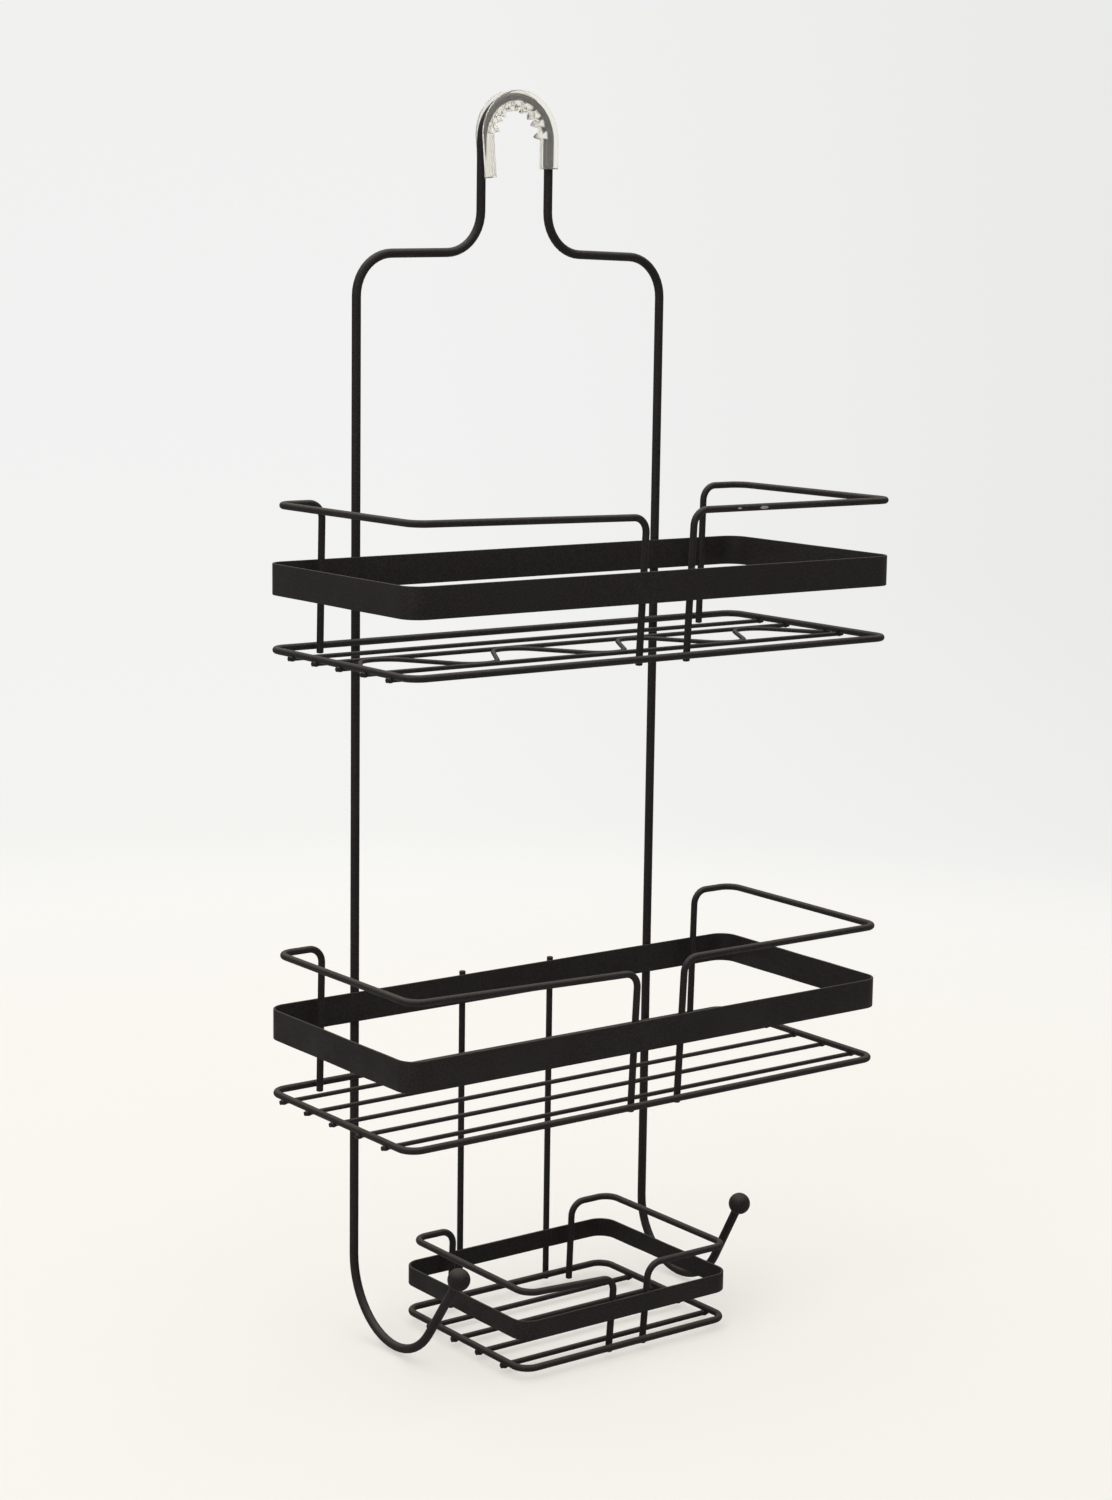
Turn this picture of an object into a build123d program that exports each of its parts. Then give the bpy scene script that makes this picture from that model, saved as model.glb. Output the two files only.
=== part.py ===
"""Hanging shower caddy, bent and welded from round wire and flat strip.

The origin is where the shower arm carries the caddy: the tip of the grip's top tooth.
+Z is up, -Y is the front and +X is the right-hand side. Lengths are in millimetres.
A "drop" is a distance below the origin, and a "rise" is a height above a shelf's ring.
"""

from build123d import *

import os
from dataclasses import dataclass
from math import acos, atan, atan2, cos, degrees, hypot, radians, sin

# Wire and strip stock.
rod_d = 4.8
ring_d = 3.7
rail_d = 3.7
support_d = 3.5
floor_d = 2.4
dish_floor_d = 3.0
strip_t = 1.2
weld_gap = 0.02  # left between two pieces that are welded side by side
weld_sink = 0.8  # how far a floor wire is pressed into the ring that it crosses

# Frame rod, measured between centre lines.
frame_width = 200.0
neck_width = 44.0
neck_bend_r = 22.0
shoulder_bend_r = 22.0
shoulder_drop = 73.0  # where the shoulder meets the neck
shoulder_fall = 1.8  # how much lower the shoulder's outer end is

# J hooks at the rod's two ends. The ends are sprung slightly apart.
hook_drop = 651.0
hook_tip_drop = 596.5
left_hook_bend_r = 40.0
left_hook_reach = 99.5
right_hook_bend_r = 36.0
right_hook_reach = 87.5
ball_d = 12.0

# Soft grip sleeve: a channel, open on its outer side, with teeth on its inner side.
sleeve_depth = 8.3  # across the channel, in the frame's plane
sleeve_width = 8.0  # front to back
sleeve_corner_r = 2.6
sleeve_slot_clearance = 0.05
sleeve_right_leg = 14.5  # straight part below the arch
sleeve_left_leg = 21.0
sleeve_slip = 2.4  # how far the sleeve has sprung off the rod where the left leg begins
sleeve_lean = 5.0  # degrees that the left leg leans inwards from there
tooth_count = 9
tooth_height = 3.7
tooth_base = 4.4
tooth_root = 0.8  # how deep a tooth is set into the sleeve's wall
tooth_first_angle = 10.0
tooth_last_angle = 170.0

# Shelf rings and bands, measured between centre lines.
shelf_width = 310.0
shelf_depth = 130.0
dish_width = 137.5
dish_depth = 110.0
ring_corner_r = 8.5
floor_overhang = 3.0  # how far a floor wire reaches past a ring's side
dish_floor_overhang = 1.6
upper_drop = 275.3
lower_drop = 509.8
dish_drop = 648.2

# Guard rails.
rail_bend_r = 8.0
rail_side_inset = 1.0
rail_gap_shift = 2.0  # how far the gap between two front legs lies to the right of the middle
rail_back_lean = 2.0  # how far a rail's back leg leans forward
rail_foot = 3.2  # how far a leg reaches below the ring's centre line

# Wave wire in the upper floor.
wave_periods = 3.5
wave_lead = 11.5  # from the ring's side to where the wave begins
wave_end_shift = 12.0  # how far off its middle line the wave's second end lies
wave_slope = 1.65
wave_end_r = 8.0

# Support wires that carry the dish from the lower shelf.
support_spacing = 60.0
support_above_band = 1.2
support_below_dish = 3.4

# Shared places.
half_frame = frame_width / 2
half_neck = neck_width / 2
sleeve_face = sleeve_depth / 2
arch_z = sleeve_face + tooth_height - half_neck
weld_plane_y = -rod_d / 2 - weld_gap  # everything is welded to the rods' front on this plane
ring_back_y = weld_plane_y - ring_d / 2


@dataclass(frozen=True)
class Shelf:
    """One basket: a ring with floor wires, a band round it and a guard rail at each end."""

    name: str
    width: float
    depth: float
    z: float
    band_rise: float
    band_height: float
    rail_rise: float
    rail_front_gap: float
    rail_back_reach: float
    left_rail_sag: float
    floor_count: int
    floor_wire_d: float
    floor_wire_overhang: float
    floor_pitch_share: float  # of the depth, from one floor wire to the next
    floor_shift: float

    @property
    def floor_pitch(self):
        """Return the distance from one floor wire to the next."""
        return self.depth * self.floor_pitch_share

    def floor_y(self, index):
        """Return the Y of a floor wire's centre line, counted from the back."""
        middle = ring_back_y - self.depth / 2 + self.floor_shift
        return middle + ((self.floor_count - 1) / 2 - index) * self.floor_pitch

    @property
    def floor_z(self):
        """Return the Z of the floor wires, which hang under the ring."""
        return self.z - ring_d / 2 - self.floor_wire_d / 2 + weld_sink

    @property
    def front_y(self):
        """Return the Y of the ring's front centre line."""
        return ring_back_y - self.depth

    @property
    def band_top_rise(self):
        """Return the height of the band's top edge above the ring."""
        return self.band_rise + self.band_height / 2


upper = Shelf(
    name="upper",
    width=shelf_width,
    depth=shelf_depth,
    z=-upper_drop,
    band_rise=36.5,
    band_height=16.2,
    rail_rise=74.3,
    rail_front_gap=31.0,
    rail_back_reach=28.0,
    left_rail_sag=2.4,
    floor_count=5,
    floor_wire_d=floor_d,
    floor_wire_overhang=floor_overhang,
    floor_pitch_share=0.1723,
    floor_shift=-3.0,
)
lower = Shelf(
    name="lower",
    width=shelf_width,
    depth=shelf_depth,
    z=-lower_drop,
    band_rise=37.6,
    band_height=16.2,
    rail_rise=75.0,
    rail_front_gap=31.0,
    rail_back_reach=28.0,
    left_rail_sag=3.5,
    floor_count=5,
    floor_wire_d=floor_d,
    floor_wire_overhang=floor_overhang,
    floor_pitch_share=0.1846,
    floor_shift=2.5,
)
dish = Shelf(
    name="soap_dish",
    width=dish_width,
    depth=dish_depth,
    z=-dish_drop,
    band_rise=21.2,
    band_height=10.5,
    rail_rise=41.8,
    rail_front_gap=23.0,
    rail_back_reach=27.5,
    left_rail_sag=3.0,
    floor_count=4,
    floor_wire_d=dish_floor_d,
    floor_wire_overhang=dish_floor_overhang,
    floor_pitch_share=0.2073,
    floor_shift=-3.3,
)


def save(part, name):
    """Label a finished piece and write it as its own STEP file."""
    part.label = name
    export_step(part, os.path.join("parts", name + ".step"))


def bent_wire(path, diameter):
    """Return a round wire of one diameter, bent along a path of runs and tangent arcs."""
    with BuildPart() as wire:
        with BuildSketch(Plane(origin=path @ 0, z_dir=path % 0)):
            Circle(diameter / 2)
        sweep(path=path)
    return wire.part


def hook_path(side, bend_r, reach):
    """Return a J from its side rod, round the bend and straight up to the ball's centre."""
    plane = Plane(origin=(side * half_frame, 0, 0), x_dir=(0, -1, 0), z_dir=(-1, 0, 0))
    bend_z = bend_r - hook_drop
    across = reach - bend_r
    up = -hook_tip_drop - bend_z
    leaves_at = degrees(atan2(up, across) - acos(bend_r / hypot(across, up)))
    with BuildLine(plane) as path:
        bend = CenterArc((bend_r, bend_z), bend_r, 180, 180 + leaves_at)
        Line(bend @ 1, (reach, -hook_tip_drop))
    return path.wire()


def side_path(side, bend_r):
    """Return one side of the frame: side rod, shoulder and neck, up to the arch."""
    with BuildLine(Plane.XZ) as path:
        FilletPolyline(
            (side * half_frame, bend_r - hook_drop),
            (side * half_frame, -shoulder_drop - shoulder_fall),
            (side * half_neck, -shoulder_drop),
            (side * half_neck, arch_z),
            radius=[shoulder_bend_r, neck_bend_r],
        )
    return path.wire()


def make_frame():
    """Write the frame rod, one length from the left ball over the arch to the right ball."""
    with BuildLine(Plane.XZ) as arch:
        CenterArc((0, arch_z), half_neck, 0, 180)
    runs = [
        hook_path(-1, left_hook_bend_r, left_hook_reach),
        side_path(-1, left_hook_bend_r),
        arch.wire(),
        side_path(1, right_hook_bend_r),
        hook_path(1, right_hook_bend_r, right_hook_reach),
    ]
    save(bent_wire(Wire([edge for run in runs for edge in run.edges()]), rod_d), "frame_wire")


def make_ball(side, bend_r, reach, name):
    """Write a hook's ball, bored to its centre for the rod's end."""
    path = hook_path(side, bend_r, reach)
    run = path.edges().filter_by(GeomType.LINE)[0]
    centre = run @ 1
    with BuildPart() as ball:
        with Locations(centre):
            Sphere(ball_d / 2)
        with BuildSketch(Plane(origin=centre, z_dir=-(run % 1))):
            Circle(rod_d / 2 + weld_gap)
        extrude(amount=ball_d, mode=Mode.SUBTRACT)
    save(ball.part, name)


def make_sleeve():
    """Write the grip sleeve: the swept channel and the row of teeth under the arch."""
    slipped_r = half_neck - sleeve_slip
    slipped_z = arch_z + sleeve_slip
    with BuildLine(Plane.XZ) as path:
        Line((half_neck, arch_z - sleeve_right_leg), (half_neck, arch_z))
        CenterArc((0, arch_z), half_neck, 0, 90)
        slipped = CenterArc((0, slipped_z), slipped_r, 90, 90 + sleeve_lean)
        Line(slipped @ 1, slipped @ 1 + (slipped % 1) * sleeve_left_leg)
    slot_r = rod_d / 2 + sleeve_slot_clearance
    with BuildPart() as sleeve:
        with BuildSketch(Plane(origin=path.wire() @ 0, x_dir=(1, 0, 0), z_dir=(0, 0, 1))):
            RectangleRounded(sleeve_depth, sleeve_width, sleeve_corner_r)
            Circle(slot_r, mode=Mode.SUBTRACT)
            Rectangle(sleeve_depth, slot_r * 2, align=(Align.MIN, Align.CENTER), mode=Mode.SUBTRACT)
        sweep(path=path.wire())
        step = (tooth_last_angle - tooth_first_angle) / (tooth_count - 1)
        for index in range(tooth_count):
            angle = radians(tooth_first_angle + index * step)
            on_right = cos(angle) > 0
            centre_z = arch_z if on_right else slipped_z
            face_r = (half_neck if on_right else slipped_r) - sleeve_face
            outward = (cos(angle), 0, sin(angle))
            with BuildSketch(Plane(origin=(0, 0, centre_z), x_dir=outward, z_dir=(0, -1, 0))):
                Polygon(
                    (face_r + tooth_root, -tooth_base / 2),
                    (face_r + tooth_root, tooth_base / 2),
                    (face_r - tooth_height, 0),
                    align=None,
                )
            extrude(amount=sleeve_width / 2, both=True)
    save(sleeve.part, "arm_grip_sleeve")


def make_ring(shelf):
    """Write a shelf's ring, a closed loop of wire with rounded corners, and return it."""
    half = shelf.width / 2
    with BuildLine(Plane.XY.offset(shelf.z)) as loop:
        FilletPolyline(
            (0, ring_back_y),
            (half, ring_back_y),
            (half, shelf.front_y),
            (-half, shelf.front_y),
            (-half, ring_back_y),
            radius=[0, ring_corner_r, ring_corner_r, ring_corner_r, ring_corner_r],
            close=True,
        )
    ring = bent_wire(loop.wire(), ring_d)
    save(ring, shelf.name + "_ring")
    return ring


def make_band(shelf):
    """Write the flat strip round a shelf, its outer face flush with the ring's outer edge."""
    outer_r = ring_corner_r + ring_d / 2
    width = shelf.width + ring_d
    depth = shelf.depth + ring_d
    low = shelf.z + shelf.band_rise - shelf.band_height / 2
    with BuildPart() as band:
        with BuildSketch(Plane.XY.offset(low)):
            with Locations((0, ring_back_y - shelf.depth / 2)):
                RectangleRounded(width, depth, outer_r)
                RectangleRounded(
                    width - strip_t * 2, depth - strip_t * 2, outer_r - strip_t, mode=Mode.SUBTRACT
                )
        extrude(amount=shelf.band_height)
    save(band.part, shelf.name + "_band")


def make_floor_wire(shelf, ring, index, name):
    """Write one straight floor wire, pressed into the underside of the ring's short sides."""
    half = shelf.width / 2 + shelf.floor_wire_overhang
    with BuildPart() as wire:
        with BuildSketch(Plane.YZ.offset(-half)):
            with Locations((shelf.floor_y(index), shelf.floor_z)):
                Circle(shelf.floor_wire_d / 2)
        extrude(amount=half * 2)
        add(ring, mode=Mode.SUBTRACT)
    save(wire.part, name)


def make_wave_wire(shelf, ring, index, name):
    """Write the floor wire that waves between its two straight neighbours.

    The strokes are straight, and the arcs at the crests just reach the neighbours' sides.
    Both ends are straight where they cross the ring.
    """
    middle = shelf.floor_y(index)
    end = shelf.width / 2 + shelf.floor_wire_overhang
    start = shelf.width / 2 - wave_lead
    quarter = start * 2 / wave_periods / 4
    peak = quarter * wave_slope
    crest = shelf.floor_pitch - shelf.floor_wire_d - weld_gap
    half_angle = atan(1 / wave_slope)
    crest_r = (peak - crest) / (1 / sin(half_angle) - 1)
    crests = round(wave_periods * 2)
    points = [(-end, middle), (-start, middle)]
    for turn in range(crests):
        points.append((-start + (2 * turn + 1) * quarter, middle + peak * (-1) ** turn))
    last_y = middle + wave_end_shift * (-1) ** crests
    points += [(start + wave_end_shift / wave_slope, last_y), (end, last_y)]
    with BuildLine(Plane.XY.offset(shelf.floor_z)) as path:
        FilletPolyline(*points, radius=[wave_end_r] + [crest_r] * crests + [wave_end_r])
    with BuildPart() as wire:
        add(bent_wire(path.wire(), shelf.floor_wire_d))
        add(ring, mode=Mode.SUBTRACT)
    save(wire.part, name)


def make_rail(shelf, side, sag, name):
    """Write a guard rail: front leg, front run, side run, short back run and back leg.

    The legs stand inside the ring. The front leg leans out until it meets the band's top edge.
    """
    inset = ring_d / 2 + rail_d / 2 + weld_gap
    lean = (inset - (rail_d / 2 + weld_gap - (ring_d / 2 - strip_t))) / shelf.band_top_rise
    rail_z = shelf.z + shelf.rail_rise
    foot_z = shelf.z - rail_foot
    front_x = side * shelf.rail_front_gap / 2 + rail_gap_shift
    back_x = side * (shelf.width / 2 - shelf.rail_back_reach)
    side_x = side * (shelf.width / 2 - rail_side_inset)
    front_leg_y = shelf.front_y + inset
    back_leg_y = ring_back_y - inset
    front_run_y = front_leg_y - lean * shelf.rail_rise
    front_leg_top_y = front_run_y + lean * sag
    back_run_y = back_leg_y - rail_back_lean
    with BuildLine() as path:
        FilletPolyline(
            (front_x, front_leg_y + lean * rail_foot, foot_z),
            (front_x, front_leg_top_y, rail_z - sag),
            (side_x, front_run_y, rail_z),
            (side_x, back_run_y, rail_z),
            (back_x, back_run_y, rail_z),
            (back_x, back_leg_y, foot_z),
            radius=rail_bend_r,
        )
    save(bent_wire(path.wire(), rail_d), name)


def make_support(side, name):
    """Write one upright wire behind the lower shelf and the dish, on the weld plane."""
    top = lower.z + lower.band_top_rise + support_above_band
    bottom = dish.z - support_below_dish
    centre_y = weld_plane_y + weld_gap + support_d / 2
    with BuildPart() as wire:
        with BuildSketch(Plane.XY.offset(bottom)):
            with Locations((side * support_spacing / 2, centre_y)):
                Circle(support_d / 2)
        extrude(amount=top - bottom)
    save(wire.part, name)


os.makedirs("parts", exist_ok=True)
make_frame()
make_ball(-1, left_hook_bend_r, left_hook_reach, "left_hook_ball")
make_ball(1, right_hook_bend_r, right_hook_reach, "right_hook_ball")
make_sleeve()
for basket in (upper, lower, dish):
    basket_ring = make_ring(basket)
    make_band(basket)
    make_rail(basket, -1, basket.left_rail_sag, basket.name + "_left_rail")
    make_rail(basket, 1, 0, basket.name + "_right_rail")
    for number in range(basket.floor_count):
        if basket is upper and number == basket.floor_count // 2:
            make_wave_wire(basket, basket_ring, number, "upper_floor_wave_wire")
        else:
            floor_name = f"{basket.name}_floor_wire_{number + 1}"
            make_floor_wire(basket, basket_ring, number, floor_name)
make_support(-1, "left_support_wire")
make_support(1, "right_support_wire")
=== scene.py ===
"""Looks for a hanging shower caddy: powder coated wire and strip, and a clear vinyl grip.

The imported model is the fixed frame. The origin is the tip of the grip's top tooth, +Z is up,
-Y is the front and +X is the right-hand side. Sizes are in metres unless a name ends in _mm.
"""

import logging
from collections.abc import Sequence
from dataclasses import dataclass, field
from enum import Enum

import bpy
import numpy as np
from mathutils import Matrix, Vector

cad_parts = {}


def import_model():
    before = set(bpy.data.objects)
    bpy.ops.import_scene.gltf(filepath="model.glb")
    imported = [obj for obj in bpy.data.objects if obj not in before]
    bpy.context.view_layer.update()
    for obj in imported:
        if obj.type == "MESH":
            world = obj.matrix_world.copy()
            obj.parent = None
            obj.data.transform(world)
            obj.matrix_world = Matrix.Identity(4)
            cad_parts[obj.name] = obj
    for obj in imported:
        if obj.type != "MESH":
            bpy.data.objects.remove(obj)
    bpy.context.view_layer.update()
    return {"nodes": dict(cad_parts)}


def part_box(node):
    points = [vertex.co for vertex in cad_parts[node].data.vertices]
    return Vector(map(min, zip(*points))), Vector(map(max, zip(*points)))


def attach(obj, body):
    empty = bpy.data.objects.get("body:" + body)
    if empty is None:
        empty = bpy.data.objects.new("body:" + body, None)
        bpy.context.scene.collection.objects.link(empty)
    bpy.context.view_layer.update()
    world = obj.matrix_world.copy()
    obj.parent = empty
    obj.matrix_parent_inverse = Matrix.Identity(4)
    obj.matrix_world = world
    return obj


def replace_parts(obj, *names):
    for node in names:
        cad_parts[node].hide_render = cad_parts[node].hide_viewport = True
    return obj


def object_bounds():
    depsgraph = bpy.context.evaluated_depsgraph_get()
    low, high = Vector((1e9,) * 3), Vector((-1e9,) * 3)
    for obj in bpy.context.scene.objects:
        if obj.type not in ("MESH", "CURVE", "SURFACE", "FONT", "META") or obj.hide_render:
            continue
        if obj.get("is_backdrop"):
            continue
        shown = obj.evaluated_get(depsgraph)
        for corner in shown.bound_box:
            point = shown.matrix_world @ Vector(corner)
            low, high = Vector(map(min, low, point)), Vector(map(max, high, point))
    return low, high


MM = 0.001
LOG = logging.getLogger("shower_caddy")
X_AXIS, Y_AXIS, Z_AXIS = np.eye(3)
ROD_RADIUS = 2.4 * MM
SUPPORT_RADIUS = 1.75 * MM


class Basket(Enum):
    """The three baskets, by the first part of their nodes' names."""

    UPPER = "upper"
    LOWER = "lower"
    SOAP_DISH = "soap_dish"


class Side(Enum):
    """A side of the caddy, by its name."""

    LEFT = "left"
    RIGHT = "right"


# ------------------------------------------------------------------------------------------
# Colours and nodes
# ------------------------------------------------------------------------------------------


def linear(colour: str) -> tuple[float, float, float, float]:
    """Turn an sRGB hex colour into linear light.

    Args:
        colour: The colour as "#rrggbb".

    Returns:
        Red, green and blue in linear light, and an alpha of 1.
    """
    coded = np.array([int(colour[i : i + 2], 16) for i in (1, 3, 5)]) / 255
    light = np.where(coded <= 0.04045, coded / 12.92, ((coded + 0.055) / 1.055) ** 2.4)
    return (*(float(value) for value in light), 1.0)


def add_node(
    tree: bpy.types.NodeTree,
    kind: str,
    inputs: dict[str | int, object] | None = None,
    **settings: object,
) -> bpy.types.Node:
    """Add one node with its settings, its fixed inputs and its links.

    Args:
        tree: The node tree that gets the node.
        kind: The node's type.
        inputs: Each input's value, or the output socket that feeds it.
        settings: The node's own properties.

    Returns:
        The new node.
    """
    node = tree.nodes.new(kind)
    for name, value in settings.items():
        setattr(node, name, value)
    for name, value in (inputs or {}).items():
        if isinstance(value, bpy.types.NodeSocket):
            tree.links.new(value, node.inputs[name])
        else:
            node.inputs[name].default_value = value
    return node


def blended(
    tree: bpy.types.NodeTree, share: bpy.types.NodeSocket, first: object, second: object
) -> bpy.types.NodeSocket:
    """Return two colours mixed.

    Args:
        tree: The node tree.
        share: How much of the second there is.
        first: A colour, or the socket that gives it.
        second: Another.

    Returns:
        The mixed colour.
    """
    inputs = {0: share, 6: first, 7: second}
    return add_node(tree, "ShaderNodeMix", inputs, data_type="RGBA").outputs[2]


def scalar(tree: bpy.types.NodeTree, operation: str, *values: object) -> bpy.types.NodeSocket:
    """Return what a Math node works out from its values."""
    inputs = dict(enumerate(values))
    return add_node(tree, "ShaderNodeMath", inputs, operation=operation).outputs[0]


def vector(tree: bpy.types.NodeTree, operation: str, *values: object) -> bpy.types.Node:
    """Return a Vector Math node that works on its values."""
    return add_node(tree, "ShaderNodeVectorMath", dict(enumerate(values)), operation=operation)


def new_material(name: str) -> tuple[bpy.types.Material, bpy.types.NodeTree]:
    """Make an empty node material.

    Args:
        name: The finish's name.

    Returns:
        The material and its node tree.
    """
    material = bpy.data.materials.new(name)
    material.use_nodes = True
    material.node_tree.nodes.clear()
    return material, material.node_tree


# ------------------------------------------------------------------------------------------
# Finishes
# ------------------------------------------------------------------------------------------


def as_seen(tree: bpy.types.NodeTree, share: float) -> bpy.types.NodeSocket:
    """Return a light's strength: whole where it is seen, weaker where it lights something.

    A ray that comes straight from the eye, or through the clear vinyl, sees it. A ray that
    was reflected, sharp or matt, is lit by it.

    Args:
        tree: The tree of the surround or of a material.
        share: The strength for the rays that it lights.

    Returns:
        1 or the share.
    """
    ray = add_node(tree, "ShaderNodeLightPath").outputs
    reflected = scalar(tree, "MAXIMUM", ray["Is Diffuse Ray"], ray["Is Glossy Ray"])
    lighting = scalar(tree, "SUBTRACT", reflected, ray["Is Transmission Ray"])
    return add_node(tree, "ShaderNodeMapRange", {0: lighting, 3: 1.0, 4: share}).outputs[0]


@dataclass(frozen=True)
class Chip:
    """A spot where the coat is knocked off: its centre and its half lengths."""

    centre: tuple[float, float, float]
    half: tuple[float, float, float]


@dataclass(frozen=True)
class PowderCoat:
    """Fine-texture black polyester powder coat, sprayed dry on steel and baked.

    The powder melts into closed grains a few tenths of a millimetre wide. They scatter light,
    so the coat looks matt with no sharp highlight. Faces that look up get a painted highlight.
    """

    name: str = "black_fine_texture_powder_coat"
    hollow: str = "#110e0d"  # between the grains: random grain tone, with painted shade in the relief's hollows
    crown: str = "#2a2523"  # tops of the grains, a little warmer: random grain tone, with painted light on the relief's tops
    painted_top_light: str = "#5a544b"  # painted highlight on faces that look up, patchy with the cloud noise
    painted_top_light_share: float = 0.55
    grain_mm: float = 0.8  # real grains are 0.3 mm, too fine to show, so they are drawn wider
    cloud_mm: float = 30.0  # slow drift in how thick the powder lies
    roughness_low: float = 0.5
    roughness_high: float = 0.72
    specular: float = 0.3
    relief_mm: float = 0.06
    noise_range: tuple[float, float] = (0.3, 0.7)  # the part of the noise that is used
    upward_range: tuple[float, float] = (0.3, 0.95)  # how far a face looks up as the painted highlight sets in
    painted_top_light_least: float = 0.45  # painted highlight left where the cloud noise is lowest
    torn_range: tuple[float, float] = (1.3, 1.6)  # from bare steel to coat at a chip's edge
    bare_steel: str = "#cdc8be"
    chips: tuple[Chip, ...] = ()

    def material(self) -> bpy.types.Material:
        """Build the coat's nodes: grain and drift in colour, roughness and relief, and chips.

        Returns:
            The coat's material.
        """
        material, tree = new_material(self.name)
        place = add_node(tree, "ShaderNodeTexCoord").outputs["Object"]
        grain = self._noise(tree, place, self.grain_mm, 3.0)
        cloud = self._noise(tree, place, self.cloud_mm, 4.0)
        # The grain noise also sets the relief's height, so its hollows take the dark colour: random
        # grain tone with painted shade in the hollows.
        crowned = self._stretched(tree, grain, self.noise_range)
        tone = blended(tree, crowned, linear(self.hollow), linear(self.crown))
        facing = add_node(
            tree,
            "ShaderNodeSeparateXYZ",
            {0: add_node(tree, "ShaderNodeNewGeometry").outputs["Normal"]},
        )
        # Painted highlight: faces that look up are mixed towards a lighter colour, patchy with the
        # cloud noise.
        upward = self._stretched(
            tree, facing.outputs["Z"], self.upward_range, (0.0, self.painted_top_light_share)
        )
        spread = self._stretched(tree, cloud, self.noise_range, (self.painted_top_light_least, 1.0))
        painted_top_light_mask = scalar(tree, "MULTIPLY", upward, spread)
        colour = blended(tree, painted_top_light_mask, tone, linear(self.painted_top_light))
        rough_range = (self.roughness_low, self.roughness_high)
        roughness = self._stretched(tree, cloud, self.noise_range, rough_range)
        relief = add_node(
            tree,
            "ShaderNodeBump",
            {"Height": grain, "Strength": 1.0, "Distance": self.relief_mm * MM},
        )
        values: dict[str | int, object] = {
            "Base Color": colour,
            "Roughness": roughness,
            "Specular IOR Level": self.specular,
            "Normal": relief.outputs["Normal"],
        }
        if self.chips:
            bare = self._chipped(tree, place, grain)
            values["Metallic"] = bare
            values["Base Color"] = blended(tree, bare, colour, linear(self.bare_steel))
        shader = add_node(tree, "ShaderNodeBsdfPrincipled", values)
        add_node(tree, "ShaderNodeOutputMaterial", {"Surface": shader.outputs["BSDF"]})
        return material

    @staticmethod
    def _noise(
        tree: bpy.types.NodeTree, place: bpy.types.NodeSocket, size_mm: float, detail: float
    ) -> bpy.types.NodeSocket:
        """Return noise whose lumps are about size_mm wide.

        Args:
            tree: The material's node tree.
            place: Where on the object, in metres.
            size_mm: How wide a lump is.
            detail: How many finer octaves are added.

        Returns:
            The noise, from 0 to 1.
        """
        scale = 1 / (size_mm * MM)
        inputs = {"Vector": place, "Scale": scale, "Detail": detail, "Roughness": 0.6}
        return add_node(tree, "ShaderNodeTexNoise", inputs).outputs["Fac"]

    @staticmethod
    def _stretched(
        tree: bpy.types.NodeTree,
        value: bpy.types.NodeSocket,
        ends: tuple[float, float],
        become: tuple[float, float] = (0.0, 1.0),
    ) -> bpy.types.NodeSocket:
        """Map one range onto another, clamped and eased.

        Args:
            tree: The material's node tree.
            value: What is mapped.
            ends: The low and the high value.
            become: What those two become.

        Returns:
            The mapped value.
        """
        inputs = {0: value, 1: ends[0], 2: ends[1], 3: become[0], 4: become[1]}
        kind = "ShaderNodeMapRange"
        return add_node(tree, kind, inputs, interpolation_type="SMOOTHSTEP").outputs[0]

    def _chipped(
        self, tree: bpy.types.NodeTree, place: bpy.types.NodeSocket, grain: bpy.types.NodeSocket
    ) -> bpy.types.NodeSocket:
        """Return 1 inside a chip and 0 elsewhere, with an edge torn by the grain.

        A chip is an ellipsoid: the point's offset from its centre, over its half lengths, is
        shorter than 1.

        Args:
            tree: The material's node tree.
            place: Where on the object, in metres.
            grain: Noise that roughens the edge.

        Returns:
            How bare the steel is.
        """
        total: object = 0.0
        for chip in self.chips:
            centred = vector(tree, "SUBTRACT", place, chip.centre).outputs[0]
            scaled = vector(tree, "DIVIDE", centred, chip.half).outputs[0]
            length = vector(tree, "LENGTH", scaled).outputs["Value"]
            torn = scalar(tree, "ADD", length, grain)
            bare = self._stretched(tree, torn, self.torn_range, (1.0, 0.0))
            total = scalar(tree, "MAXIMUM", total, bare)
        return total


@dataclass(frozen=True)
class ClearVinyl:
    """Soft clear PVC, extruded with teeth and cut to length.

    It is see-through but never crisp: the plasticiser leaves it faintly yellow and hazy, and
    its surface has slow ripples from the die.
    """

    name: str = "clear_soft_vinyl"
    tint: str = "#fefcf5"
    transmission: float = 0.93
    index: float = 1.48
    roughness_low: float = 0.05
    roughness_high: float = 0.16
    ripple_mm: float = 2.2
    ripple_range: tuple[float, float] = (0.3, 0.7)  # the part of the ripple that hazes
    relief_mm: float = 0.07
    relief_share: float = 0.6

    def material(self) -> bpy.types.Material:
        """Build the vinyl's nodes: a hazy clear body with ripples.

        Returns:
            The vinyl's material.
        """
        material, tree = new_material(self.name)
        place = add_node(tree, "ShaderNodeTexCoord").outputs["Object"]
        ripple = add_node(
            tree,
            "ShaderNodeTexNoise",
            {"Vector": place, "Scale": 1 / (self.ripple_mm * MM), "Detail": 2.0},
        ).outputs["Fac"]
        ends = (*self.ripple_range, self.roughness_low, self.roughness_high)
        inputs = dict(enumerate((ripple, *ends)))
        haze = add_node(tree, "ShaderNodeMapRange", inputs).outputs[0]
        relief = add_node(
            tree,
            "ShaderNodeBump",
            {"Height": ripple, "Strength": self.relief_share, "Distance": self.relief_mm * MM},
        )
        shader = add_node(
            tree,
            "ShaderNodeBsdfPrincipled",
            {
                "Base Color": linear(self.tint),
                "Transmission Weight": self.transmission,
                "IOR": self.index,
                "Roughness": haze,
                "Normal": relief.outputs["Normal"],
            },
        )
        add_node(tree, "ShaderNodeOutputMaterial", {"Surface": shader.outputs["BSDF"]})
        return material


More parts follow.
